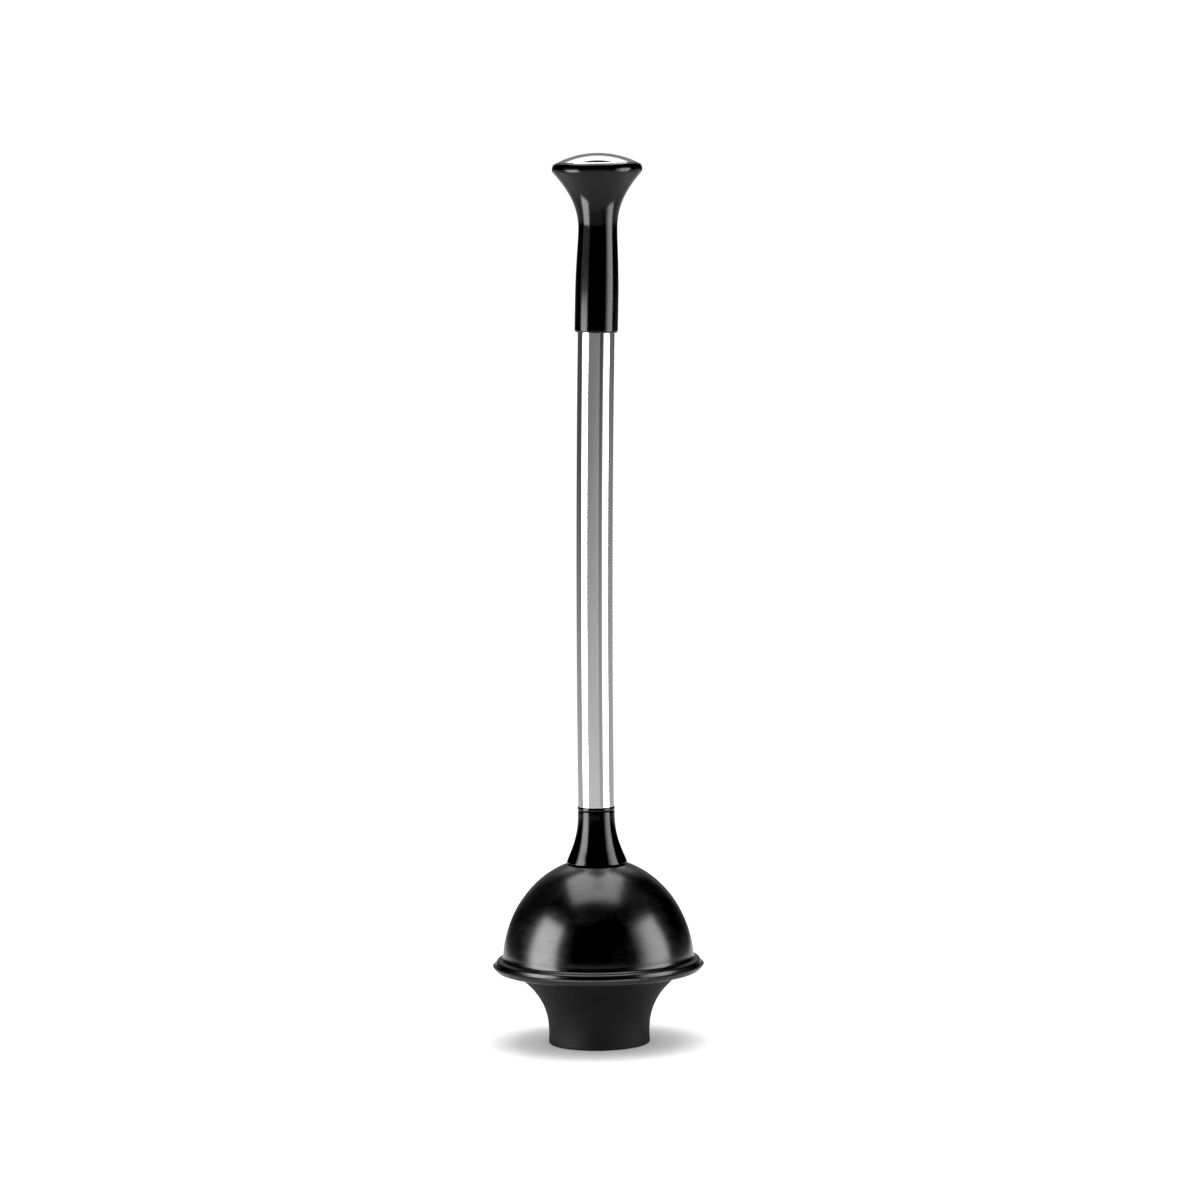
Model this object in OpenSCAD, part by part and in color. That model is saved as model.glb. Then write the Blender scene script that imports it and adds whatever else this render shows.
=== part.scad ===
// Flange toilet plunger: a bowed steel tube handle with a flared grip, a
// clamped collar, a rubber bell and a fold-out drain flange.
// Millimetres. +Z is up and the flange stands on z = 0, centred on the origin.

/* [Handle] */
// outside diameter of the steel tube
tube_d = 23.4; // [22.8:0.1:23.6]
// wall thickness of the steel tube
tube_wall = 1.0; // [0.8:0.1:1.0]
// length of the tube from the collar's shoulder to the grip's floor
tube_len = 347; // [300:1:400]
// radius of the tube's slight sideways bow
bow_r = 10800; // [9000:200:40000]

/* [Grip] */
// how far the tube goes into the grip
socket_len = 43.6; // [36:0.2:46]
// radius of the grip's straight barrel
grip_r = 13.8; // [13.4:0.1:14]
// radius of the neck below the knob
neck_r = 12.4; // [12.2:0.1:12.6]
// largest radius of the knob, at its bead
knob_r = 28.7; // [28.6:0.1:30]
// height of the steel cap's dome above the knob
cap_rise = 6.4; // [5:0.1:8]

/* [Collar] */
// height of the trumpet-shaped collar
collar_h = 36.4; // [34:0.2:42]
// radius of the collar's lower edge
collar_r = 19.3; // [18.6:0.1:20]

/* [Bell] */
// half-width of the bell above its rim
bell_a = 61.7; // [61:0.1:62.2]
// height of the bell's dome above its widest level
bell_b = 69.4; // [68:0.2:72]
// rubber thickness of the bell
bell_wall = 3.4; // [3:0.1:4]
// outside radius of the rim, without its flash line
rim_r = 66.7; // [66.4:0.1:68]

/* [Drain flange] */
// height of the bell's rim above the floor, which is the flange's depth
flange_h = 47; // [44:1:52]
// outside radius of the flange's mouth
mouth_r = 32.5; // [31:0.1:34]
// rubber thickness of the flange
flange_wall = 3.5; // [3:0.1:4]

/* [Hidden] */
tube_r = tube_d / 2;
bell_z = flange_h + 3.2;                 // widest level of the bell's ellipse
crown_z = flange_h + 69.6;                 // flat seat for the collar
seat_r = 18;
plate_z = crown_z - 7.5;                 // underside of the clamp plate
tube_z = crown_z + collar_h;             // the tube stands on the collar's shoulder
core_r = tube_r - tube_wall - 0.1;       // radius of what fits inside the tube
bolt_r = 4;
bolt_len = collar_h + 43;                // from under its head to its chamfer
gap = 0.3;                               // play between the two rubber parts

// the bow: angle, sideways offset and height after an arc length s
function bow_a(s) = s / bow_r * 180 / PI;
function bow_x(s) = bow_r * (1 - cos(bow_a(s)));
function bow_z(s) = tube_z + bow_r * sin(bow_a(s));

grip_s = tube_len - socket_len;          // where the grip's lower edge sits
lean = bow_a(tube_len - socket_len / 2); // lean of the grip's barrel
barrel_len = 66.2;                       // lower edge to the neck, where it turns upright
recess_r = knob_r - 3.8;
rim_z = 41;                              // knob's top edge above the neck
edge_r = 26.2;                           // edge of the steel cap
dome_r = (edge_r * edge_r + cap_rise * cap_rise) / (2 * cap_rise);

// a cubic curve through four control points
function bez(p, t) = pow(1 - t, 3) * p[0] + 3 * t * pow(1 - t, 2) * p[1]
                   + 3 * t * t * (1 - t) * p[2] + pow(t, 3) * p[3];
function curve(p, n) = [for (i = [0 : n]) bez(p, i / n)];
// a point on an ellipse round the bell's axis
function ell(a, b, t) = [a * cos(t), bell_z + b * sin(t)];

$fn = 72;

// puts children on the leaning barrel, measured up from its lower edge
module on_barrel()
    translate([bow_x(grip_s), 0, bow_z(grip_s)]) rotate([0, lean, 0]) children();

// puts children on the upright knob, measured up from the neck
module on_knob()
    on_barrel() translate([0, 0, barrel_len]) rotate([0, -lean, 0]) children();

// a flat ring or disc with broken edges
module ring(r0, r1, h, c = 0.3)
    rotate_extrude()
        polygon([[r0, 0], [r1 - c, 0], [r1, c], [r1, h - c], [r1 - c, h], [r0, h]]);

// ---- knob ----

module knob_cap() color([0.78, 0.79, 0.80]) on_knob() translate([0, 0, rim_z])
    rotate_extrude() union() {
        intersection() {
            difference() {
                translate([0, cap_rise - dome_r]) circle(dome_r, $fn = 360);
                translate([0, cap_rise - dome_r]) circle(dome_r - 0.8, $fn = 360);
            }
            translate([0, 0.05]) square([edge_r + 1, cap_rise + 1]);
        }
        translate([recess_r - 1.2, -2.4]) square([0.8, 4.0]);
    }

module cap_carrier() color([0.14, 0.14, 0.15]) on_knob() difference() {
    union() {
        translate([0, 0, 10]) cylinder(h = 26, r = 6.9);
        translate([0, 0, 34.9]) cylinder(h = 3.5, r = recess_r - 0.3);
        translate([0, 0, 38.3]) cylinder(h = 2.6, r = recess_r - 1.3);
    }
    translate([0, 0, 6]) cylinder(h = 28, r = 4.6);
}

module grip() color([0.06, 0.06, 0.065]) difference() {
    union() {
        on_barrel() rotate_extrude()
            polygon(concat([[0, 0], [grip_r - 1.4, 0], [grip_r - 0.6, 0.5], [grip_r - 0.15, 1.4],
                            [grip_r, 2.6]],
                           curve([[grip_r, 20], [grip_r, 44], [neck_r, 57], [neck_r, barrel_len]], 14),
                           [[0, barrel_len]]));
        on_knob() rotate_extrude() union() {
            polygon(concat([[0, -0.45], [neck_r + 0.06, -0.45]],
                curve([[neck_r + 0.06, 0.5], [neck_r + 0.06, 15.2], [neck_r + 7.5, 25.6],
                       [knob_r - 0.6, 35.3]], 18),
                // the bead round the knob's top
                [for (a = [-30 : 14 : 82]) [knob_r - 2.35 + 2.35 * cos(a), rim_z - 3.6 + 3.4 * sin(a)]],
                [[edge_r - 0.3, rim_z], [0, rim_z]]));
        }
    }
    // socket for the tube and the plug's rim
    on_barrel() translate([0, 0, -1]) cylinder(h = 1 + socket_len + 2.2, r = tube_r + 0.1);
    // screw hole, and the deep hole that its head sits in
    on_barrel() cylinder(h = 56, r = 2.7);
    on_barrel() translate([0, 0, 53]) cylinder(h = barrel_len - 53 + 11, r = 6);
    // guide for the carrier's spigot, the cored knob and the cap's recess
    on_knob() translate([0, 0, 8]) cylinder(h = 12, r = 7);
    on_knob() translate([0, 0, 16]) cylinder(h = 18.6, r1 = 9, r2 = recess_r);
    on_knob() translate([0, 0, 34.6]) cylinder(h = 10, r = recess_r);
}

// ---- grip's fixing ----

module grip_washer() color([0.72, 0.72, 0.73]) on_barrel() translate([0, 0, 53.02])
    ring(2.75, 5.6, 1.1, 0.2);

module grip_screw() color([0.70, 0.70, 0.72]) on_barrel() difference() {
    union() {
        translate([0, 0, 22]) cylinder(h = 34, r = 2.5);
        translate([0, 0, 19]) cylinder(h = 3, r1 = 0.8, r2 = 2.5);
        translate([0, 0, 54.15]) rotate_extrude()
            polygon([[0, 0], [4.6, 0], [4.7, 0.6], [4.4, 1.8], [3.6, 2.8], [2.2, 3.3], [0, 3.4]]);
    }
    for (a = [0, 90]) rotate([0, 0, a]) translate([-2.2, -0.45, 55.9]) cube([4.4, 0.9, 3]);
}

module top_plug() color([0.2, 0.2, 0.21]) on_barrel() difference() {
    union() {
        translate([0, 0, socket_len - 28]) cylinder(h = 28.1, r = core_r);
        translate([0, 0, socket_len + 0.05]) cylinder(h = 2.0, r = tube_r - 0.1);
    }
    cylinder(h = 60, r = 2.56);
    // cored pockets round the screw boss
    for (a = [45 : 90 : 315]) rotate([0, 0, a]) translate([6.6, 0, 0]) cylinder(h = socket_len - 3, r = 1.9);
}

// ---- tube ----

module tube() color([0.76, 0.77, 0.78])
    translate([bow_r, 0, tube_z + 0.04]) rotate([90, 0, 0])
        rotate_extrude(angle = bow_a(tube_len), start = 180 - bow_a(tube_len), $fn = 5000)
            translate([bow_r, 0]) difference() {
                circle(tube_r, $fn = 72);
                circle(tube_r - tube_wall, $fn = 72);
            }

// ---- lower fixing ----

module bottom_plug() color([0.2, 0.2, 0.21]) translate([0, 0, tube_z + 13]) difference() {
    cylinder(h = 24, r = core_r - 0.05);
    translate([0, 0, -1]) cylinder(h = 40, r = bolt_r + 0.2);
    translate([0, 0, 10]) cylinder(h = 20, r = 7.6, $fn = 6);
}

module plug_nut() color([0.75, 0.62, 0.35]) translate([0, 0, tube_z + 23.05]) difference() {
    intersection() {
        cylinder(h = 6.5, r = 7.45, $fn = 6);
        union() {
            cylinder(h = 1.2, r1 = 6.6, r2 = 7.45);
            translate([0, 0, 1.2]) cylinder(h = 4.1, r = 7.45);
            translate([0, 0, 5.3]) cylinder(h = 1.2, r1 = 7.45, r2 = 6.6);
        }
    }
    translate([0, 0, -1]) cylinder(h = 10, r = bolt_r + 0.04);
}

module collar() color([0.06, 0.06, 0.065]) translate([0, 0, crown_z + 0.02]) rotate_extrude()
    difference() {
        polygon(concat([[bolt_r + 0.3, 0], [collar_r - 0.5, 0], [collar_r, 0.4]],
            curve([[collar_r, 0.9], [collar_r - 2.8, 8.5], [tube_r + 0.3, 15.8],
                   [tube_r + 0.15, collar_h - 6]], 16),
            // a fine bead ring just under the shoulder
            [[tube_r + 0.15, collar_h - 3.6], [tube_r - 0.1, collar_h - 3.3],
             [tube_r - 0.1, collar_h - 2.7], [tube_r + 0.15, collar_h - 2.4],
             [tube_r + 0.2, collar_h - 0.4], [tube_r - 0.05, collar_h],
             // spigot inside the tube
             [core_r, collar_h], [core_r, collar_h + 11], [core_r - 1, collar_h + 12],
             [bolt_r + 0.3, collar_h + 12]]));
        // cored underside
        polygon([[7.2, -1], [14.6, -1], [14.6, 1], [9.6, 14], [7.2, 14]]);
    }

module cup_bolt() color([0.72, 0.72, 0.73]) {
    translate([0, 0, plate_z - 1.7 - 5.3]) intersection() {
        cylinder(h = 5.3, r = 7.5, $fn = 6);
        union() {
            cylinder(h = 1.3, r1 = 6.4, r2 = 7.5);
            translate([0, 0, 1.3]) cylinder(h = 4, r = 7.5);
        }
    }
    translate([0, 0, plate_z - 2.2]) cylinder(h = bolt_len + 0.5, r = bolt_r);
    translate([0, 0, plate_z + bolt_len - 1.7]) cylinder(h = 1.3, r1 = bolt_r, r2 = bolt_r - 1);
}

module lock_washer() color([0.66, 0.66, 0.67]) translate([0, 0, plate_z - 1.65]) difference() {
    cylinder(h = 1.6, r = 6.9);
    translate([0, 0, -1]) cylinder(h = 4, r = bolt_r + 0.15);
    // the split
    translate([0, 0, 0.8]) rotate([20, 0, 0]) translate([0, -0.6, -2]) cube([10, 1.2, 4]);
}

module clamp_plate() color([0.72, 0.73, 0.74]) translate([0, 0, plate_z])
    ring(bolt_r + 0.25, 17, 1.95, 0.5);

// ---- rubber ----

module bell() color([0.05, 0.05, 0.052]) {
    a1 = bell_a - bell_wall;
    b1 = bell_b - bell_wall;
    t_rim = asin(10 / bell_b);
    t_seat = acos(seat_r / bell_a);
    t_in = asin((crown_z - 5.5 - bell_z) / b1);
    rotate_extrude($fn = 96) difference() {
        polygon(concat(
            [[bolt_r + 0.5, crown_z], [seat_r, crown_z]],
            [for (i = [1 : 26]) ell(bell_a, bell_b, t_seat + (t_rim - t_seat) * i / 26)],
            // the fillet down to the rim's shoulder
            curve([[rim_r - 5.5, flange_h + 11.2], [rim_r - 5.35, flange_h + 9.2],
                   [rim_r - 4.8, flange_h + 8.0], [rim_r - 3.3, flange_h + 7.6]], 6),
            // rounded shoulder, sloping face, flash line and rounded underside
            [[rim_r - 2.0, flange_h + 7.4], [rim_r - 1.3, flange_h + 6.9],
             [rim_r - 1.0, flange_h + 5.9], [rim_r - 0.3, flange_h + 4.4], [rim_r, flange_h + 4.1],
             [rim_r + 0.8, flange_h + 3.95], [rim_r + 1.2, flange_h + 3.7],
             [rim_r + 1.0, flange_h + 3.4], [rim_r + 0.2, flange_h + 3.2], [rim_r, flange_h + 2.9],
             [rim_r - 0.3, flange_h + 1.5], [rim_r - 1.2, flange_h + 0.6],
             [rim_r - 2.2, flange_h + 0.15], [rim_r - 3.5, flange_h], [a1 + 0.8, flange_h],
             [a1, flange_h + 0.8]],
            [for (i = [0 : 24]) ell(a1, b1, t_in * i / 24)],
            [[bolt_r + 0.5, crown_z - 5.5]]));
        translate([a1 - gap - 0.1, flange_h + 5]) circle(1.2 + gap, $fn = 32);
    }
}

module flange() color([0.11, 0.11, 0.11]) {
    w = flange_wall;
    band = bell_a - bell_wall - gap - 0.1;
    top = flange_h + 8;
    rotate_extrude($fn = 96) union() {
        polygon(concat(
            // rounded mouth that stands on the floor
            [[mouth_r - 0.9, 0], [mouth_r - 0.25, 0.3], [mouth_r, 1.0]],
            curve([[mouth_r - 0.2, 7], [mouth_r - 0.2, 22], [mouth_r + 5.7, flange_h - 12],
                   [band - 3.4, flange_h - 1.2]], 20),
            // band that sits inside the bell's rim
            [[band - 0.7, flange_h - 0.2], [band, flange_h + 0.8], [band, top - 1.2],
             [band - 1.0, top], [band - w + 1.0, top], [band - w, top - 1.2],
             [band - w, flange_h + 3.2]],
            curve([[band - w - 0.8, flange_h + 1.6], [mouth_r - w + 7.1, flange_h - 9.2],
                   [mouth_r - w - 0.2, 24], [mouth_r - w - 0.2, 7]], 20),
            [[mouth_r - w, 1.0], [mouth_r - w + 0.7, 0]]));
        translate([band, flange_h + 5]) circle(1.2, $fn = 32);
    }
}

knob_cap();
cap_carrier();
grip();
grip_screw();
grip_washer();
top_plug();
tube();
bottom_plug();
plug_nut();
collar();
cup_bolt();
lock_washer();
clamp_plate();
bell();
flange();
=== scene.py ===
import math
import bpy
import bmesh
import numpy as np
from mathutils import Matrix, Vector, noise


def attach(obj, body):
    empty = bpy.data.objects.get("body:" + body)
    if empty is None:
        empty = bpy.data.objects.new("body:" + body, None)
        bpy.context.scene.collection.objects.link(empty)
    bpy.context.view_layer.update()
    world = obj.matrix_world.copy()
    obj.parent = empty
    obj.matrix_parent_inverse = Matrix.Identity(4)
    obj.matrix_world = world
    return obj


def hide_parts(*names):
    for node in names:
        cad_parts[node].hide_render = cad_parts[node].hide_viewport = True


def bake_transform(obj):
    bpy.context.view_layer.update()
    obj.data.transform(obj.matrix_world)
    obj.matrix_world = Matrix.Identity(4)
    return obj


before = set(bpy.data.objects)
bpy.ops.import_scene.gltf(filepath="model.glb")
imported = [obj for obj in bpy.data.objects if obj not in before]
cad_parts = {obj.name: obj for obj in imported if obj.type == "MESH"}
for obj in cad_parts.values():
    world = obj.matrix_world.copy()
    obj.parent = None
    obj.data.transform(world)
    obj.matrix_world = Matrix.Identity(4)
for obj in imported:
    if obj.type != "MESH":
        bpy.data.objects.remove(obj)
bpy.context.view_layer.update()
SCENE = bpy.context.scene
MM = 0.001


# ---------------------------------------------------------------- mesh helpers

def bez(p0, p1, p2, p3, n, first=True):
    """Points along a cubic curve, from p0 to p3."""
    out = []
    for i in range(0 if first else 1, n + 1):
        t = i / n
        a, b, c, d = (1 - t) ** 3, 3 * t * (1 - t) ** 2, 3 * t * t * (1 - t), t ** 3
        out.append((a * p0[0] + b * p1[0] + c * p2[0] + d * p3[0],
                    a * p0[1] + b * p1[1] + c * p2[1] + d * p3[1]))
    return out


def arc(cx, cz, r, a0, a1, n):
    """Points on a circle, angles in degrees from the +r direction towards +z."""
    return [(cx + r * math.cos(math.radians(a0 + (a1 - a0) * i / n)),
             cz + r * math.sin(math.radians(a0 + (a1 - a0) * i / n))) for i in range(n + 1)]


def rounded(pts, radii, n=6):
    """A closed section with its corners rounded. radii has one number per corner."""
    out, k = [], len(pts)
    for i, (p, r) in enumerate(zip(pts, radii)):
        if r <= 0:
            out.append(p)
            continue
        a, b = Vector(pts[i - 1]) - Vector(p), Vector(pts[(i + 1) % k]) - Vector(p)
        la, lb = a.length, b.length
        a.normalize(); b.normalize()
        half = math.acos(max(-1, min(1, a.dot(b)))) / 2
        if half > math.pi / 2 - 0.01:
            out.append(p)
            continue
        cut = min(r / math.tan(half), 0.48 * la, 0.48 * lb)
        r = cut * math.tan(half)
        c = Vector(p) + (a + b).normalized() * (r / math.sin(half))
        s, e = Vector(p) + a * cut - c, Vector(p) + b * cut - c
        a0, a1 = math.atan2(s.y, s.x), math.atan2(e.y, e.x)
        da = (a1 - a0 + math.pi) % (2 * math.pi) - math.pi
        for j in range(n + 1):
            t = a0 + da * j / n
            out.append((c.x + r * math.cos(t), c.y + r * math.sin(t)))
    return out


def dense(pts, step, closed=True):
    """Splits the long runs of a section so that no run is longer than step."""
    out, k = [], len(pts)
    for i in range(k if closed else k - 1):
        a, b = pts[i], pts[(i + 1) % k]
        n = max(1, int(math.ceil(math.dist(a, b) / step)))
        for j in range(n):
            out.append((a[0] + (b[0] - a[0]) * j / n, a[1] + (b[1] - a[1]) * j / n))
    if not closed:
        out.append(pts[-1])
    return out


def straight(r, h, t):
    return (r * math.cos(t), r * math.sin(t), h)


def lathe(name, section, seg=160, place=straight, closed=True, sharp=50, shape=None):
    """Turns a section of (radius, height) points round the axis that place() describes. Millimetres in, metres out."""
    mesh = bpy.data.meshes.new(name)
    bm = bmesh.new()
    rings = []
    for (r, h) in section:
        if r < 1e-6:
            rings.append([bm.verts.new(Vector(place(0, h, 0)) * MM)])
            continue
        ring = []
        for i in range(seg):
            t = 2 * math.pi * i / seg
            rr, hh = (r, h) if shape is None else shape(r, h, t)
            ring.append(bm.verts.new(Vector(place(rr, hh, t)) * MM))
        rings.append(ring)
    uv = bm.loops.layers.uv.new("UVMap")
    run = [0.0]
    for a, b in zip(section, section[1:] + section[:1]):
        run.append(run[-1] + math.dist(a, b))
    total = run[-1]
    n = len(rings)
    for k in range(n if closed else n - 1):
        a, b = rings[k], rings[(k + 1) % n]
        v0, v1 = run[k] / total, run[k + 1] / total
        if len(a) == 1 and len(b) == 1:
            continue
        for i in range(seg):
            j = (i + 1) % seg
            u0, u1 = i / seg, (i + 1) / seg
            if len(a) == 1:
                f = bm.faces.new((a[0], b[j], b[i])); uvs = ((u0, v0), (u1, v1), (u0, v1))
            elif len(b) == 1:
                f = bm.faces.new((a[i], a[j], b[0])); uvs = ((u0, v0), (u1, v0), (u0, v1))
            else:
                f = bm.faces.new((a[i], a[j], b[j], b[i]))
                uvs = ((u0, v0), (u1, v0), (u1, v1), (u0, v1))
            f.smooth = True
            for loop, c in zip(f.loops, uvs):
                loop[uv].uv = c
    bmesh.ops.recalc_face_normals(bm, faces=bm.faces)
    limit = math.radians(sharp)
    for e in bm.edges:
        if len(e.link_faces) == 2 and e.calc_face_angle(0) > limit:
            e.smooth = False
    bm.to_mesh(mesh)
    bm.free()
    o = bpy.data.objects.new(name, mesh)
    SCENE.collection.objects.link(o)
    return o


def edge_wear(o, reach=0.0006):
    """Stores how convex the surface is at each vertex, for the wear on edges."""
    bm = bmesh.new()
    bm.from_mesh(o.data)
    bm.normal_update()
    val = np.zeros(len(bm.verts), np.float32)
    for v in bm.verts:
        s, w = 0.0, 0.0
        for e in v.link_edges:
            d = e.other_vert(v).co - v.co
            if d.length > 1e-9:
                s += -v.normal.dot(d.normalized()) / max(d.length, 1e-5)
                w += 1
        val[v.index] = (s / w) if w else 0
    bm.free()
    val = np.clip(val * reach, 0, 1)
    a = o.data.attributes.new("edge", "FLOAT", "POINT")
    a.data.foreach_set("value", val)


# ---------------------------------------------------------------- node helpers

class Mat:
    def __init__(self, name):
        self.m = bpy.data.materials.new(name)
        self.m.use_nodes = True
        self.t = self.m.node_tree
        self.b = next(n for n in self.t.nodes if n.type == "BSDF_PRINCIPLED")
        self.out = next(n for n in self.t.nodes if n.type == "OUTPUT_MATERIAL")

    def new(self, kind, **props):
        n = self.t.nodes.new(kind)
        for k, v in props.items():
            setattr(n, k, v)
        return n

    def link(self, a, b):
        self.t.links.new(a, b)

    def coords(self, scale=(1, 1, 1), kind="Object", loc=(0, 0, 0)):
        c = self.new("ShaderNodeTexCoord")
        m = self.new("ShaderNodeMapping")
        m.inputs["Scale"].default_value = scale
        m.inputs["Location"].default_value = loc
        self.link(c.outputs[kind], m.inputs["Vector"])
        return m.outputs["Vector"]

    def noise(self, vec, scale, detail=3.0, rough=0.55, dist=0.0):
        n = self.new("ShaderNodeTexNoise")
        n.inputs["Scale"].default_value = scale
        n.inputs["Detail"].default_value = detail
        n.inputs["Roughness"].default_value = rough
        n.inputs["Distortion"].default_value = dist
        self.link(vec, n.inputs["Vector"])
        return n.outputs["Fac"]

    def voronoi(self, vec, scale):
        n = self.new("ShaderNodeTexVoronoi")
        n.inputs["Scale"].default_value = scale
        self.link(vec, n.inputs["Vector"])
        return n.outputs["Distance"]

    def math(self, op, a, b=None, c=None, clamp=False):
        n = self.new("ShaderNodeMath", operation=op)
        n.use_clamp = clamp
        for i, x in enumerate((a, b, c)):
            if x is None:
                continue
            if hasattr(x, "is_output"):
                self.link(x, n.inputs[i])
            else:
                n.inputs[i].default_value = x
        return n.outputs[0]

    def ramp(self, fac, lo, hi, out_lo=0.0, out_hi=1.0, smooth=True):
        n = self.new("ShaderNodeMapRange")
        n.interpolation_type = "SMOOTHSTEP" if smooth else "LINEAR"
        for k, v in (("From Min", lo), ("From Max", hi), ("To Min", out_lo), ("To Max", out_hi)):
            n.inputs[k].default_value = v
        self.link(fac, n.inputs["Value"])
        return n.outputs["Result"]

    def mix(self, fac, a, b):
        n = self.new("ShaderNodeMix", data_type="RGBA")
        self.link(fac, n.inputs["Factor"])
        for key, x in (("A", a), ("B", b)):
            s = [i for i in n.inputs if i.name == key and i.type == "RGBA"][0]
            if hasattr(x, "is_output"):
                self.link(x, s)
            else:
                s.default_value = (*x, 1) if len(x) == 3 else x
        return [o for o in n.outputs if o.type == "RGBA"][0]

    def attr(self, name):
        n = self.new("ShaderNodeAttribute", attribute_name=name)
        return n.outputs["Fac"]

    def bump(self, pairs):
        """Chains bumps of (height socket, strength, distance in metres) and feeds the shader's normal."""
        last = None
        for h, strength, dist in pairs:
            n = self.new("ShaderNodeBump")
            n.inputs["Strength"].default_value = strength
            n.inputs["Distance"].default_value = dist
            self.link(h, n.inputs["Height"])
            if last is not None:
                self.link(last, n.inputs["Normal"])
            last = n.outputs["Normal"]
        self.link(last, self.b.inputs["Normal"])

    def set(self, **vals):
        for k, v in vals.items():
            s = self.b.inputs[k.replace("_", " ")]
            if hasattr(v, "is_output"):
                self.link(v, s)
            elif isinstance(v, tuple) and len(v) == 3:
                s.default_value = (*v, 1)
            else:
                s.default_value = v


# ---------------------------------------------------------------- materials

def make_steel(name, spun=False):
    """Polished stainless steel: fine grain drawn along the tube, or spun round the cap's centre."""
    m = Mat(name)
    if spun:
        c = m.new("ShaderNodeTexCoord")
        sep = m.new("ShaderNodeSeparateXYZ")
        m.link(c.outputs["Object"], sep.inputs[0])
        rad = m.math("SQRT", m.math("ADD", m.math("POWER", sep.outputs[0], 2.0),
                                    m.math("POWER", sep.outputs[1], 2.0)))
        comb = m.new("ShaderNodeCombineXYZ")
        m.link(rad, comb.inputs[0])
        m.link(m.math("MULTIPLY", sep.outputs[2], 0.02), comb.inputs[2])
        grain = m.noise(comb.outputs[0], 5200.0, 4.0, 0.6)
        wide = m.noise(comb.outputs[0], 640.0, 2.0, 0.5)
    else:
        grain = m.noise(m.coords((1, 1, 0.012)), 4200.0, 4.0, 0.62)
        wide = m.noise(m.coords((1, 1, 0.03)), 620.0, 3.0, 0.5)
    cloud = m.noise(m.coords(), 26.0, 4.0, 0.6)
    specks = m.ramp(m.voronoi(m.coords((1, 1, 0.35)), 900.0), 0.02, 0.10)
    tone = m.math("ADD", m.math("MULTIPLY", grain, 0.55), m.math("MULTIPLY", wide, 0.45))
    col = m.mix(m.ramp(tone, 0.34, 0.66), (0.775, 0.778, 0.782), (0.860, 0.862, 0.865))
    col = m.mix(m.ramp(cloud, 0.30, 0.75), col, (0.80, 0.80, 0.803))
    lo, hi = (0.03, 0.05) if spun else (0.05, 0.085)
    rough = m.math("ADD", m.ramp(grain, 0.3, 0.7, lo, hi), m.ramp(cloud, 0.35, 0.75, 0.0, 0.02))
    m.set(Base_Color=col, Metallic=1.0, Roughness=rough, Specular_IOR_Level=0.5)
    k = 0.35 if spun else 1.0
    m.bump([(wide, 0.03 * k, 0.00002), (grain, 0.06 * k, 0.000008), (specks, 0.02 * k, 0.000006)])
    return m.m


def make_gloss(name):
    """Glossy black moulding: hard, smooth, with faint mould waves, hairline marks and handling haze."""
    m = Mat(name)
    haze = m.noise(m.coords(), 38.0, 5.0, 0.6)
    hair = m.noise(m.coords((1, 1, 0.05)), 1500.0, 3.0, 0.5)
    orange = m.noise(m.coords(), 420.0, 2.0, 0.45)
    wave = m.noise(m.coords((1, 1, 0.6)), 55.0, 1.5, 0.4)
    edge = m.attr("edge")
    col = m.mix(m.ramp(haze, 0.3, 0.7), (0.0022, 0.0022, 0.0024), (0.0046, 0.0046, 0.0048))
    col = m.mix(m.ramp(edge, 0.25, 0.9, 0.0, 0.35), col, (0.016, 0.016, 0.0165))
    rough = m.math("ADD", m.ramp(haze, 0.35, 0.8, 0.125, 0.165), m.ramp(hair, 0.45, 0.75, 0.0, 0.03))
    m.set(Base_Color=col, Metallic=0.0, Roughness=rough, IOR=1.45, Specular_IOR_Level=0.38)
    m.bump([(wave, 0.16, 0.00035), (orange, 0.035, 0.00006), (hair, 0.02, 0.00002)])
    return m.m


def make_bell(name):
    """Satin black rubber: fine moulded grain, faint rings left by the mould, matt bloom on the edges."""
    m = Mat(name)
    c = m.new("ShaderNodeTexCoord")
    sep = m.new("ShaderNodeSeparateXYZ")
    m.link(c.outputs["Object"], sep.inputs[0])
    comb = m.new("ShaderNodeCombineXYZ")
    m.link(m.math("MULTIPLY", sep.outputs[0], 0.09), comb.inputs[0])
    m.link(m.math("MULTIPLY", sep.outputs[1], 0.09), comb.inputs[1])
    m.link(sep.outputs[2], comb.inputs[2])
    rings = m.noise(comb.outputs[0], 520.0, 3.0, 0.55)
    bloom = m.noise(m.coords(), 34.0, 5.0, 0.62)
    patch = m.noise(m.coords(), 110.0, 3.0, 0.55)
    grain = m.noise(m.coords(), 2100.0, 3.0, 0.6)
    dots = m.ramp(m.voronoi(m.coords(), 1300.0), 0.05, 0.42)
    edge = m.attr("edge")
    col = m.mix(m.ramp(bloom, 0.3, 0.72), (0.0048, 0.0048, 0.0050), (0.0092, 0.0092, 0.0095))
    col = m.mix(m.ramp(edge, 0.18, 0.8, 0.0, 0.45), col, (0.026, 0.026, 0.0265))
    rough = m.math("ADD", m.ramp(bloom, 0.3, 0.75, 0.185, 0.235),
                   m.math("ADD", m.ramp(patch, 0.4, 0.7, 0.0, 0.03), m.ramp(rings, 0.45, 0.7, 0.0, 0.04)))
    m.set(Base_Color=col, Metallic=0.0, Roughness=rough, IOR=1.5, Specular_IOR_Level=0.5)
    m.bump([(rings, 0.07, 0.00012), (patch, 0.14, 0.00020), (dots, 0.10, 0.00004), (grain, 0.16, 0.00004)])
    return m.m


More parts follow.
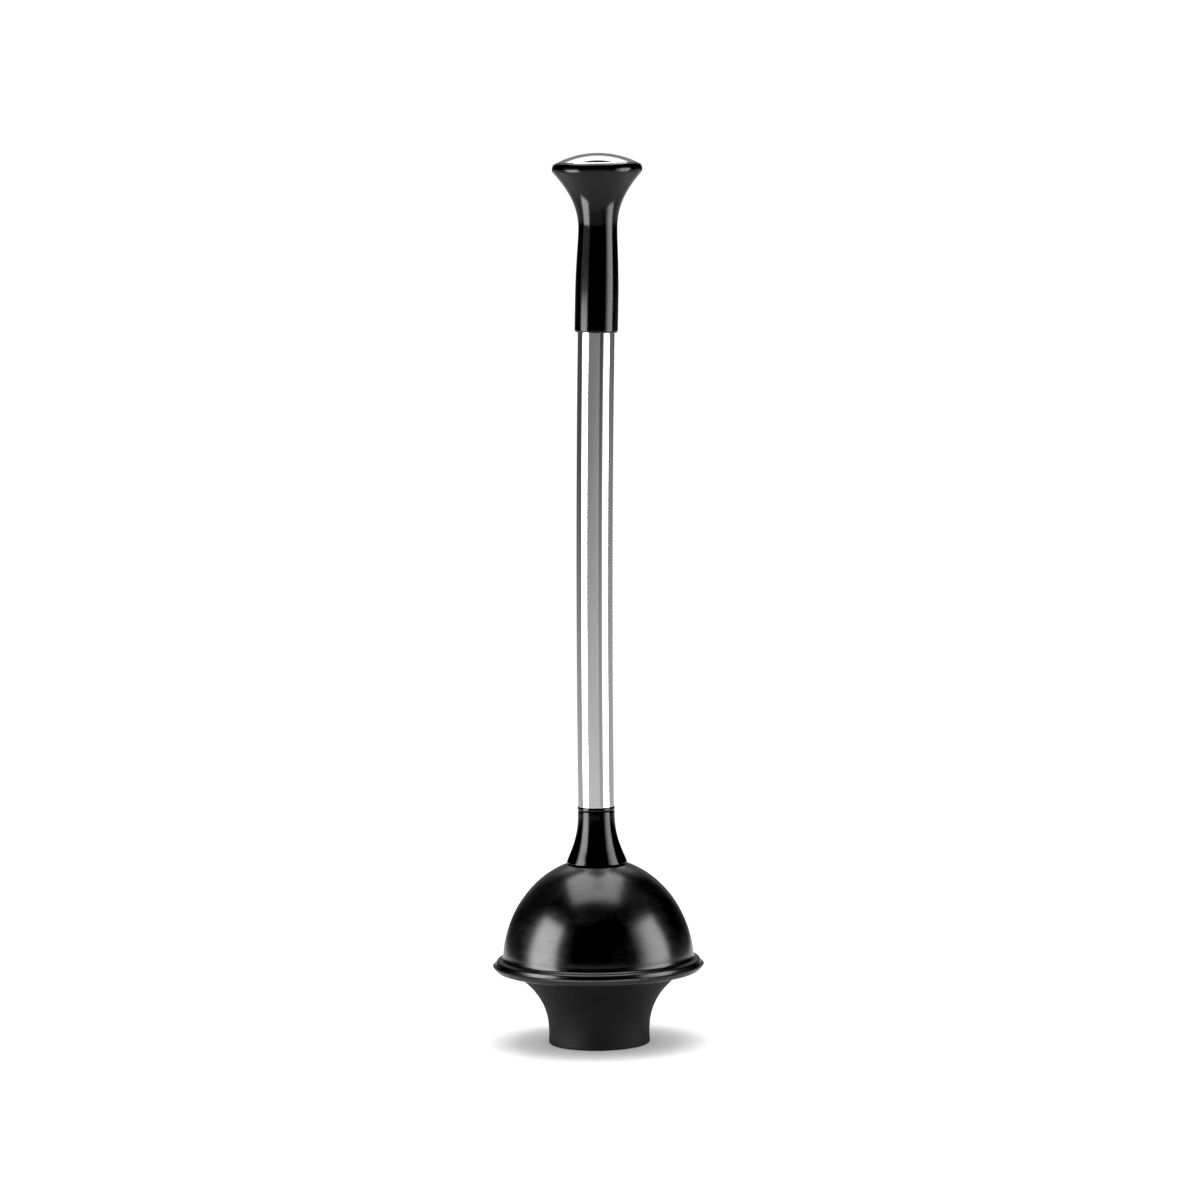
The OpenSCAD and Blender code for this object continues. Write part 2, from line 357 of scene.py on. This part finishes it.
def make_flange(name):
    """Matt black rubber: a fine pebbled skin, faint bloom, and a scuffed edge where it stands."""
    m = Mat(name)
    bloom = m.noise(m.coords((1, 1, 1.6)), 46.0, 5.0, 0.62)
    grain = m.noise(m.coords(), 1700.0, 4.0, 0.65)
    pebble = m.ramp(m.voronoi(m.coords(), 1500.0), 0.05, 0.5)
    c = m.new("ShaderNodeTexCoord")
    sep = m.new("ShaderNodeSeparateXYZ")
    m.link(c.outputs["Object"], sep.inputs[0])
    low = m.ramp(sep.outputs[2], 0.0, 0.006, 1.0, 0.0)
    scuff = m.math("MULTIPLY", low, m.ramp(m.noise(m.coords((1, 1, 3)), 260.0, 5.0, 0.7), 0.45, 0.75))
    edge = m.attr("edge")
    col = m.mix(m.ramp(bloom, 0.28, 0.75), (0.0095, 0.0095, 0.0096), (0.0135, 0.0135, 0.0136))
    col = m.mix(m.ramp(edge, 0.2, 0.8, 0.0, 0.30), col, (0.020, 0.020, 0.0202))
    col = m.mix(m.math("MULTIPLY", scuff, 0.5), col, (0.030, 0.030, 0.0295))
    rough = m.ramp(bloom, 0.3, 0.75, 0.60, 0.70)
    m.set(Base_Color=col, Metallic=0.0, Roughness=rough, IOR=1.5, Specular_IOR_Level=0.25)
    m.bump([(pebble, 0.14, 0.00005), (grain, 0.16, 0.00004)])
    return m.m


def make_plated(name, dark, light, rough_lo, rough_hi):
    """Plated or plain fixing metal: crystalline blotches and fine scratches."""
    m = Mat(name)
    spangle = m.voronoi(m.coords(), 420.0)
    cloud = m.noise(m.coords(), 160.0, 4.0, 0.6)
    scratch = m.noise(m.coords((1, 0.06, 0.4)), 2400.0, 3.0, 0.6)
    col = m.mix(m.ramp(m.math("ADD", m.math("MULTIPLY", spangle, 0.6), m.math("MULTIPLY", cloud, 0.6)), 0.25, 0.75),
                dark, light)
    rough = m.math("ADD", m.ramp(cloud, 0.3, 0.7, rough_lo, rough_hi), m.ramp(scratch, 0.5, 0.8, 0.0, 0.06))
    m.set(Base_Color=col, Metallic=1.0, Roughness=rough)
    m.bump([(cloud, 0.08, 0.00005), (scratch, 0.08, 0.00002)])
    return m.m


def make_plastic(name):
    """Plain inner moulding: matt, slightly mottled, with a spark-eroded texture."""
    m = Mat(name)
    mottle = m.noise(m.coords(), 90.0, 4.0, 0.6)
    fine = m.noise(m.coords(), 2600.0, 3.0, 0.6)
    col = m.mix(m.ramp(mottle, 0.3, 0.7), (0.020, 0.020, 0.021), (0.034, 0.034, 0.035))
    m.set(Base_Color=col, Metallic=0.0, Roughness=m.ramp(mottle, 0.3, 0.7, 0.42, 0.56), Specular_IOR_Level=0.5)
    m.bump([(mottle, 0.05, 0.0001), (fine, 0.12, 0.00003)])
    return m.m


STEEL = make_steel("steel_tube")
CAP = make_steel("steel_cap", spun=True)
GLOSS = make_gloss("black_gloss")
BELL = make_bell("bell_rubber")
FLANGE = make_flange("flange_rubber")
ZINC = make_plated("zinc", (0.42, 0.43, 0.44), (0.68, 0.69, 0.70), 0.28, 0.42)
BRASS = make_plated("nut_brass", (0.52, 0.38, 0.16), (0.78, 0.60, 0.30), 0.26, 0.40)
INNER = make_plastic("inner_plastic")

# ---------------------------------------------------------------- the object's numbers, in millimetres

CROWN_Z = 116.6                       # flat seat on the bell for the collar
COLLAR_H = 36.4
TUBE_Z = CROWN_Z + COLLAR_H
TUBE_LEN = 347.0
BOW_R = 10800.0
SOCKET = 43.6
GRIP_S = TUBE_LEN - SOCKET
LEAN = (TUBE_LEN - SOCKET / 2) / BOW_R
BARREL = 66.2
RIM_R, FLANGE_H = 67.5, 47.0


def on_tube(r, s, t):
    """A point round the bowed tube's centre line."""
    a = s / BOW_R
    cx, cz = BOW_R * (1 - math.cos(a)), TUBE_Z + 0.04 + BOW_R * math.sin(a)
    return (cx + r * math.cos(t) * math.cos(a), r * math.sin(t), cz - r * math.cos(t) * math.sin(a))


# centre line of the grip: it leans like the tube, then turns upright at the neck
_H = np.linspace(-10, 130, 1401)
_turn = np.clip((_H - (BARREL - 7)) / 14, 0, 1)
_ANG = LEAN * (1 - _turn * _turn * (3 - 2 * _turn))
_CX = np.concatenate([[0], np.cumsum(np.sin(_ANG[:-1]) * 0.1)])
_CZ = np.concatenate([[0], np.cumsum(np.cos(_ANG[:-1]) * 0.1)])
_i0 = 100
_a = GRIP_S / BOW_R
_CX += BOW_R * (1 - math.cos(_a)) - _CX[_i0]
_CZ += TUBE_Z + BOW_R * math.sin(_a) - _CZ[_i0]


def on_grip(r, h, t):
    """A point round the grip's centre line; h is measured up from the grip's lower edge."""
    a, cx, cz = (float(np.interp(h, _H, v)) for v in (_ANG, _CX, _CZ))
    return (cx + r * math.cos(t) * math.cos(a), r * math.sin(t), cz - r * math.cos(t) * math.sin(a))


# ---------------------------------------------------------------- grip

grip_sec = (
    [(12.15, 0.25), (12.45, 0.0), (12.9, 0.05)]
    + arc(12.3, 1.55, 1.5, -62, 0, 7)
    + [(13.8, 2.6)]
    + dense([(13.8, 3.5), (13.8, 20.0)], 3.0, closed=False)
    + bez((13.8, 20), (13.8, 44), (12.4, 57), (12.4, BARREL), 26, first=False)
    + bez((12.4, BARREL), (12.4, BARREL + 15.2), (19.9, BARREL + 25.6), (28.1, BARREL + 35.2), 48, first=False)
    + [(26.35 + 2.35 * math.cos(math.radians(t)), BARREL + 37.4 + 3.4 * math.sin(math.radians(t)))
       for t in np.linspace(-33, 84, 18)]
    + [(26.2, 107.1), (25.6, 107.16), (25.1, 107.1), (24.9, 106.8), (24.9, 101.0),
       (9.0, 82.4), (7.0, 82.2), (7.0, 74.4), (6.0, 74.2), (6.0, 53.0), (2.75, 53.0), (2.75, 46.0),
       (12.1, 46.0), (12.1, 1.0)]
)
grip = lathe("grip_body", grip_sec, 144, on_grip, sharp=38)
edge_wear(grip)

# ---------------------------------------------------------------- steel cap

knob_x, knob_z = on_grip(0, BARREL, 0)[0], on_grip(0, BARREL, 0)[2]
cap_rise, cap_edge = 6.38, 26.2
dome = (cap_edge ** 2 + cap_rise ** 2) / (2 * cap_rise)
top = 41 + cap_rise - dome
half = math.degrees(math.asin(25.7 / dome))
half_in = math.degrees(math.asin(23.8 / (dome - 0.8)))
cap_sec = (
    [(p[0], p[1]) for p in arc(0, top, dome, 90, 90 - half, 30)]
    + [(25.98, 41.22), (26.14, 41.05), (26.1, 40.9), (25.8, 40.86), (24.55, 40.95), (24.55, 38.7), (23.8, 38.7)]
    + [(p[0], p[1]) for p in arc(0, top, dome - 0.8, 90 - half_in, 90, 18)]
)
cap_sec[0] = (0.0, cap_sec[0][1])
cap_sec[-1] = (0.0, cap_sec[-1][1])
cap = lathe("steel_cap", cap_sec, 144, lambda r, h, t: (r * math.cos(t), r * math.sin(t), h), closed=False, sharp=38)
cap.location = (knob_x * MM, 0, knob_z * MM)

# ---------------------------------------------------------------- tube


def tube_r(s):
    return 11.42 + 0.28 * min(1.0, max(0.0, s / 300.0))


tube_sec = ([(tube_r(0) - 0.25, 0.0), (tube_r(0) - 0.05, 0.06), (tube_r(0), 0.18), (tube_r(0), 0.4), (tube_r(0), 1.0)]
            + [(tube_r(s), s) for s in np.linspace(4, TUBE_LEN - 1.0, 64)]
            + [(tube_r(TUBE_LEN) - 0.15, TUBE_LEN - 0.2), (tube_r(TUBE_LEN) - 0.85, TUBE_LEN - 0.2)]
            + [(tube_r(s) - 1.0, s) for s in np.linspace(TUBE_LEN - 1.0, 1.0, 40)]
            + [(tube_r(0) - 0.95, 0.15), (tube_r(0) - 0.8, 0.0)])
tube = lathe("handle_tube", tube_sec, 144, on_tube, sharp=38)

# ---------------------------------------------------------------- collar

ch = COLLAR_H
collar_sec = (
    [(4.3, 0.0), (18.6, 0.0)] + arc(18.85, 0.45, 0.45, -90, 0, 5)
    + bez((19.3, 0.9), (16.5, 8.5), (12.0, 15.8), (11.78, ch - 6), 44)
    + [(11.75, ch - 3.5)]
    + [(11.72, ch - 3.1), (11.55, ch - 2.85), (11.42, ch - 2.6), (11.55, ch - 2.35), (11.78, ch - 2.15)]
    + dense([(11.84, ch - 1.9), (11.86, ch - 0.6)], 0.5, closed=False)
    + [(11.8, ch - 0.25), (11.6, ch - 0.03), (11.3, ch)]
    + [(10.55, ch), (10.55, ch + 11), (9.7, ch + 12), (4.3, ch + 12)]
)
collar_sec = [(r, h + CROWN_Z + 0.03) for r, h in collar_sec]
collar = lathe("collar_body", collar_sec, 144, straight, sharp=38)
edge_wear(collar)

# ---------------------------------------------------------------- bell

A, B, ZC = 61.7, 69.4, FLANGE_H + 3.2
AI, BI = A - 3.4, B - 3.4


def ell(a, b, deg):
    return (a * math.cos(math.radians(deg)), ZC + b * math.sin(math.radians(deg)))


t_seat = math.degrees(math.acos(18.0 / A))
t_rim = math.degrees(math.asin(9.6 / B))
t_in = math.degrees(math.asin((CROWN_Z - 5.5 - ZC) / BI))
bell_sec = (
    [(4.5, CROWN_Z), (9.0, CROWN_Z), (14.0, CROWN_Z), (17.4, CROWN_Z)]
    + [ell(A, B, t_seat + (t_rim - t_seat) * i / 70) for i in range(71)]
    + bez((61.2, 58.3), (61.35, 56.2), (61.9, 55.05), (63.4, 54.65), 12)
    + bez((63.7, 54.6), (64.7, 54.5), (65.4, 53.9), (65.65, 53.0), 7)
    + dense([(65.75, 52.7), (66.45, 51.35)], 0.7, closed=False)
    + [(66.65, 51.14), (67.0, 51.04), (67.45, 50.95), (67.75, 50.82), (67.86, 50.66), (67.76, 50.48),
       (67.4, 50.32), (67.0, 50.2), (66.75, 50.0)]
    + bez((66.7, 49.7), (66.5, 48.3), (65.4, 47.15), (63.2, 47.0), 14)
    + dense([(62.6, 47.0), (AI + 1.1, 47.0)], 1.2, closed=False)
    + [(AI + 0.4, 47.15), (AI + 0.05, 47.7), (AI, 49.5), (AI, 50.5)]
    + [(AI, 50.95), (AI + 0.7, 51.0), (AI + 1.05, 51.6), (AI + 1.1, 52.2), (AI + 0.95, 52.9), (AI + 0.5, 53.4),
       (AI - 0.05, 53.5)]
    + [ell(AI, BI, 3.6 + (t_in - 3.6) * i / 56) for i in range(57)]
    + [(18.0, CROWN_Z - 5.5), (11.0, CROWN_Z - 5.5), (4.5, CROWN_Z - 5.5)]
)


def soft(seed, amp_r, amp_h, z0, z1, feature=0.045):
    """Slight unevenness of moulded rubber, growing from height z0 to z1."""
    def f(r, h, t):
        k = min(1.0, max(0.0, (h - z0) / (z1 - z0)))
        p = Vector((r * math.cos(t), r * math.sin(t), h)) * feature + Vector((seed, seed * 2, 0))
        return (r + amp_r * k * noise.noise(p), h + amp_h * k * noise.noise(p + Vector((9, 3, 5))))
    return f


bell = lathe("rubber_bell", bell_sec, 224, straight, sharp=42, shape=soft(3.1, -0.16, 0.10, 112, 96))
edge_wear(bell)

# ---------------------------------------------------------------- drain flange

BAND = AI - 0.4
W, MOUTH, TOP = 3.5, 32.5, FLANGE_H + 8
flange_sec = (
    [(31.2, 0.0), (31.9, 0.08), (32.25, 0.3), (32.42, 0.65), (32.5, 1.1), (32.46, 1.9)]
    + dense([(32.4, 2.6), (32.3, 7.0)], 1.0, closed=False)
    + bez((32.3, 7), (32.3, 22), (38.2, 35), (BAND - 3.4, FLANGE_H - 1.2), 56, first=False)
    + [(BAND - 0.8, FLANGE_H - 0.2), (BAND, FLANGE_H + 0.8), (BAND, 50.7), (BAND + 0.7, 51.0),
       (BAND + 1.1, 51.6), (BAND + 1.15, 52.2), (BAND + 0.9, 52.8), (BAND + 0.3, 53.2), (BAND - 0.1, 53.4),
       (BAND - 0.1, TOP - 1.3), (BAND - 0.5, TOP - 0.3), (BAND - 1.2, TOP), (BAND - W + 1.2, TOP),
       (BAND - W + 0.3, TOP - 0.4), (BAND - W, TOP - 1.2), (BAND - W, 52.0), (BAND - W, FLANGE_H + 3.2)]
    + bez((BAND - W - 0.8, FLANGE_H + 1.6), (MOUTH - W + 7.1, FLANGE_H - 9.2), (28.8, 24), (28.8, 7), 56)
    + dense([(28.8, 6.0), (28.95, 1.2)], 1.0, closed=False)
    + [(29.1, 0.55), (29.4, 0.18), (29.9, 0.0)]
)
flange = lathe("drain_flange_skirt", flange_sec, 224, straight, sharp=42, shape=soft(7.7, 0.14, 0.0, 0.5, 8.0))
edge_wear(flange)

# ---------------------------------------------------------------- what moves with what

for o, mat, slot, node in ((grip, GLOSS, "black_gloss", "grip"), (cap, CAP, "steel_cap", "knob_cap"),
                           (tube, STEEL, "steel_tube", "tube"), (collar, GLOSS, "black_gloss", "collar")):
    o.data.materials.append(mat)
    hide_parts(node)
    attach(o, "handle")

bell.data.materials.append(BELL)
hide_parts("bell")
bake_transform(bell)

flange.data.materials.append(FLANGE)
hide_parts("flange")
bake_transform(flange)

for node, mat in (("cup_bolt", ZINC), ("lock_washer", ZINC), ("clamp_plate", ZINC), ("grip_screw", ZINC),
                  ("grip_washer", ZINC), ("plug_nut", BRASS), ("bottom_plug", INNER), ("top_plug", INNER),
                  ("cap_carrier", INNER)):
    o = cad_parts[node]
    o.data.materials.clear()
    o.data.materials.append(mat)

# ---------------------------------------------------------------- camera

PITCH, ROLL = math.radians(5.435), math.radians(0.8)
right, up, fwd = Vector((1, 0, 0)), Vector((0, math.sin(PITCH), math.cos(PITCH))), Vector((0, math.cos(PITCH), -math.sin(PITCH)))
r2 = right * math.cos(ROLL) - up * math.sin(ROLL)
u2 = right * math.sin(ROLL) + up * math.cos(ROLL)
cam_data = bpy.data.cameras.new("camera")
cam_data.sensor_width = 36.0
cam_data.lens = 36.0 * 4940.0 / 1200.0
cam_data.clip_start, cam_data.clip_end = 0.05, 60.0
cam = bpy.data.objects.new("camera", cam_data)
SCENE.collection.objects.link(cam)
m3 = Matrix((r2, u2, -fwd)).transposed()
cam.matrix_world = Matrix.Translation((0.0043, -3.139, 0.58432)) @ m3.to_4x4()
SCENE.camera = cam

# ---------------------------------------------------------------- studio: floor, soft boxes, surroundings


def soft_box(name, at, toward, w, h, radiance):
    d = bpy.data.lights.new(name, "AREA")
    d.shape = "RECTANGLE"
    d.size, d.size_y = w, h
    d.energy = radiance * math.pi * w * h
    o = bpy.data.objects.new(name, d)
    SCENE.collection.objects.link(o)
    o.location = at
    o.rotation_mode = "QUATERNION"
    o.rotation_quaternion = (Vector(at) - Vector(toward)).to_track_quat("Z", "Y")
    o.visible_camera = False
    o.visible_diffuse = False         # the boxes are mirrored in the surfaces; the even room light is the world's
    return o


def feather(o, start, end, least=0.08):
    """A soft box that is dimmer towards one side, as its cloth front is."""
    o.data.use_nodes = True
    t = o.data.node_tree
    em = next(n for n in t.nodes if n.type == "EMISSION")
    geo = t.nodes.new("ShaderNodeNewGeometry")
    sep = t.nodes.new("ShaderNodeSeparateXYZ")
    t.links.new(geo.outputs["Parametric"], sep.inputs[0])
    r = t.nodes.new("ShaderNodeMapRange")
    r.interpolation_type = "SMOOTHSTEP"
    for k, v in (("From Min", start), ("From Max", end), ("To Min", least), ("To Max", 1.0)):
        r.inputs[k].default_value = v
    t.links.new(sep.outputs[0], r.inputs["Value"])
    t.links.new(r.outputs["Result"], em.inputs["Strength"])


def polar(az, d, z):
    """A point at azimuth az (0 towards the camera, positive to the right) and distance d."""
    return (d * math.sin(math.radians(az)), -d * math.cos(math.radians(az)), z)


box_left = soft_box("box_left", polar(-71.5, 0.57, 0.238), (0, 0, 0.238), 0.43, 0.475, 10.0)
feather(box_left, 0.0, 0.30)
box_right = soft_box("box_right", polar(69, 0.80, 0.33), (0, 0, 0.33), 0.65, 0.66, 7.2)
feather(box_right, 0.0, 0.55)
soft_box("box_top", (-0.10, 0.36, 2.60), (-0.10, 0.32, 0), 2.30, 2.25, 4.3)

overhead = soft_box("room_top", (0.0, 0.0, 1.20), (0, 0, 0), 0.90, 0.90, 3.4)
overhead.visible_diffuse = True
overhead.visible_glossy = False

floor_mesh = bpy.data.meshes.new("floor")
bm = bmesh.new()
bmesh.ops.create_circle(bm, cap_ends=True, radius=4.0, segments=128)
bm.to_mesh(floor_mesh)
bm.free()
floor = bpy.data.objects.new("floor", floor_mesh)
SCENE.collection.objects.link(floor)
fm = Mat("floor_paper")
fm.t.nodes.remove(fm.b)
dif = fm.new("ShaderNodeBsdfDiffuse")
clear = fm.new("ShaderNodeBsdfTransparent")
mixer = fm.new("ShaderNodeMixShader")
tc = fm.new("ShaderNodeTexCoord")
length = fm.new("ShaderNodeVectorMath", operation="LENGTH")
fm.link(tc.outputs["Object"], length.inputs[0])
geo = fm.new("ShaderNodeNewGeometry")            # the paper has one side, so the object can be seen from below
rays = fm.new("ShaderNodeLightPath")             # under the mouth it lets soft light through, so the hollow can be seen too
under_mouth = fm.math("MULTIPLY", fm.math("LESS_THAN", length.outputs["Value"], 0.0335), rays.outputs["Is Diffuse Ray"])
seen_through = fm.math("MAXIMUM", under_mouth, geo.outputs["Backfacing"])
fm.link(fm.math("MAXIMUM", fm.ramp(length.outputs["Value"], 0.60, 1.15), seen_through), mixer.inputs[0])
# painted shade in reflections: the paper is darker (0.69 instead of 0.93) where it is mirrored in the object than where
# the camera sees it
paper = fm.math("SUBTRACT", 0.93, fm.math("MULTIPLY", rays.outputs["Is Glossy Ray"], 0.24))
fm.link(paper, dif.inputs["Color"])
fm.link(dif.outputs[0], mixer.inputs[1])
fm.link(clear.outputs[0], mixer.inputs[2])
fm.link(mixer.outputs[0], fm.out.inputs["Surface"])
floor.data.materials.append(fm.m)

world = bpy.data.worlds.new("studio")
world.use_nodes = True
SCENE.world = world


class WorldTree(Mat):
    def __init__(self, tree):
        self.t = tree


wt = WorldTree(world.node_tree)
bg = next(n for n in wt.t.nodes if n.type == "BACKGROUND")
tc = wt.new("ShaderNodeTexCoord")
sep = wt.new("ShaderNodeSeparateXYZ")
wt.link(tc.outputs["Generated"], sep.inputs[0])
az = wt.math("ARCTAN2", sep.outputs[0], wt.math("MULTIPLY", sep.outputs[1], -1.0))
around = wt.math("ADD", wt.math("DIVIDE", az, 2 * math.pi), 0.5)
el = wt.math("DIVIDE", wt.math("ARCSINE", sep.outputs[2]), math.radians(1.0))
ramp = wt.new("ShaderNodeValToRGB")
wt.link(around, ramp.inputs[0])
stops = [(-180, 0.24), (-170, 0.20), (-160, 0.085), (-98, 0.08), (-48, 0.225), (24, 0.215), (26.5, 0.02), (48, 0.02),
         (112, 0.08), (160, 0.085), (170, 0.20), (180, 0.24)]
cr = ramp.color_ramp
cr.interpolation = "LINEAR"
while len(cr.elements) < len(stops):
    cr.elements.new(0.5)
for e, (deg, v) in zip(cr.elements, stops):
    e.position = deg / 360 + 0.5
    e.color = (v, v, v, 1)
turn = wt.math("ABSOLUTE", az)
low = wt.math("ADD", ramp.outputs["Color"], wt.ramp(el, -9.0, -2.0, 0.42, 0.0))
glow = wt.math("MULTIPLY", wt.ramp(wt.math("ABSOLUTE", wt.math("ADD", az, math.radians(72))), math.radians(18), math.radians(30), 0.8, 0.0),
               wt.math("MULTIPLY", wt.ramp(el, -3.0, -1.0), wt.ramp(el, 4.0, 14.0, 1.0, 0.0)))
low = wt.math("ADD", low, glow)
env = wt.mix(wt.ramp(el, -2.0, 6.0), low, (0.03, 0.03, 0.03))
env = wt.mix(wt.ramp(el, 1.0, 3.0), env, wt.mix(wt.math("GREATER_THAN", glow, 0.02), env, low))
behind = wt.ramp(turn, math.radians(150), math.radians(165))
edge_band = wt.math("MULTIPLY", behind, wt.math("MULTIPLY", wt.ramp(el, -1.0, 1.0), wt.ramp(el, 45.5, 47.5, 1.0, 0.0)))
sky = wt.math("MULTIPLY", behind, wt.math("MULTIPLY", wt.ramp(el, 25.0, 33.0), wt.ramp(el, 45.5, 47.5, 1.0, 0.0)))
above = wt.math("MULTIPLY", behind, wt.math("MULTIPLY", wt.ramp(el, 51.5, 53.0), wt.ramp(el, 58.0, 64.0, 1.0, 0.0)))
env = wt.mix(edge_band, env, (0.24, 0.24, 0.24))
env = wt.mix(sky, env, (1.30, 1.30, 1.30))
env = wt.mix(above, env, (0.45, 0.45, 0.45))
lp = wt.new("ShaderNodeLightPath")
soft = wt.mix(wt.ramp(el, -70.0, -60.0, 1.0, 0.0), (1.12, 1.12, 1.12), (6.0, 6.0, 6.0))    # the floor hides the brighter part, except from inside the mouth
env = wt.mix(lp.outputs["Is Diffuse Ray"], env, soft)
env = wt.mix(lp.outputs["Is Camera Ray"], env, (1.05, 1.05, 1.05))
wt.link(env, bg.inputs["Color"])
bg.inputs["Strength"].default_value = 1.0
world.cycles.sampling_method = "NONE"

SCENE.view_settings.view_transform = "Standard"
SCENE.view_settings.look = "None"
SCENE.view_settings.use_curve_mapping = True        # the black point of a printed product picture
SCENE.view_settings.curve_mapping.black_level = (0.0115, 0.0115, 0.0115)
SCENE.view_settings.curve_mapping.update()
